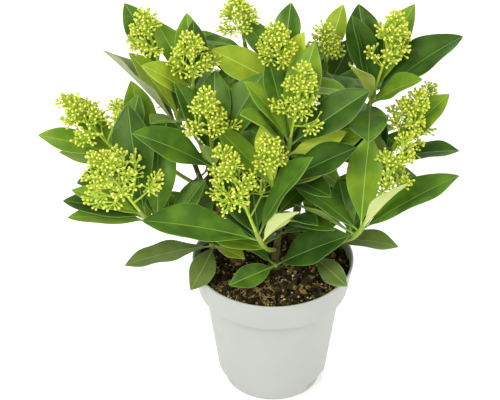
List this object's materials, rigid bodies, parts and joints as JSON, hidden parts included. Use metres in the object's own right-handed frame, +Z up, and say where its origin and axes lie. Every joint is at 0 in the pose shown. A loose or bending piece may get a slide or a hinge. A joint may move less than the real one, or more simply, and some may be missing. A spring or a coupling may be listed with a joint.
{
  "type": "potted skimmia shrub",
  "caption": "Compact evergreen shrub in a round nursery pot: woody stems branch into leafy shoots that end in upright conical heads of small flower buds.",
  "frame": {"origin": "centre of the pot's flat underside, on the surface it stands on", "axes": "+Z up; -Y is the front, +X its right; the pot is round about Z"},
  "size_m": [0.3355, 0.2208, 0.333],
  "materials": {
    "pot": "satin",
    "soil": "rough, moist and crumbly",
    "bark": "matte, finely grooved bark",
    "leaf": "glossy above, matte below",
    "green_stem": "satin",
    "blossom": "satin"
  },
  "bodies": {
    "root": {"pot": "pot", "soil": "soil", "stem_front": "bark", "stem_left": "bark", "stem_right": "bark", "stem_back_left": "bark", "stem_back_right": "bark", "bough_01": "bark", "bough_02": "bark", "bough_03": "bark", "bough_04": "bark", "bough_05": "bark", "bough_06": "bark", "bough_07": "bark", "bough_08": "bark", "bough_09": "bark", "bough_10": "bark", "bough_11": "bark", "bough_12": "bark", "bough_13": "bark", "bough_14": "bark", "bough_15": "bark", "bough_16": "bark", "bough_17": "bark", "bough_18": "bark", "bough_19": "bark", "foliage_01": "leaf", "foliage_02": "leaf", "foliage_03": "leaf", "foliage_04": "leaf", "foliage_05": "leaf", "foliage_06": "leaf", "foliage_07": "leaf", "foliage_08": "leaf", "foliage_09": "leaf", "foliage_10": "leaf", "foliage_11": "leaf", "foliage_12": "leaf", "foliage_13": "leaf", "foliage_14": "leaf", "foliage_15": "leaf", "foliage_16": "leaf", "foliage_17": "leaf", "foliage_18": "leaf", "foliage_19": "leaf", "foliage_20": "leaf", "foliage_21": "leaf", "foliage_22": "leaf", "foliage_23": "leaf"}
  },
  "joints": []
}
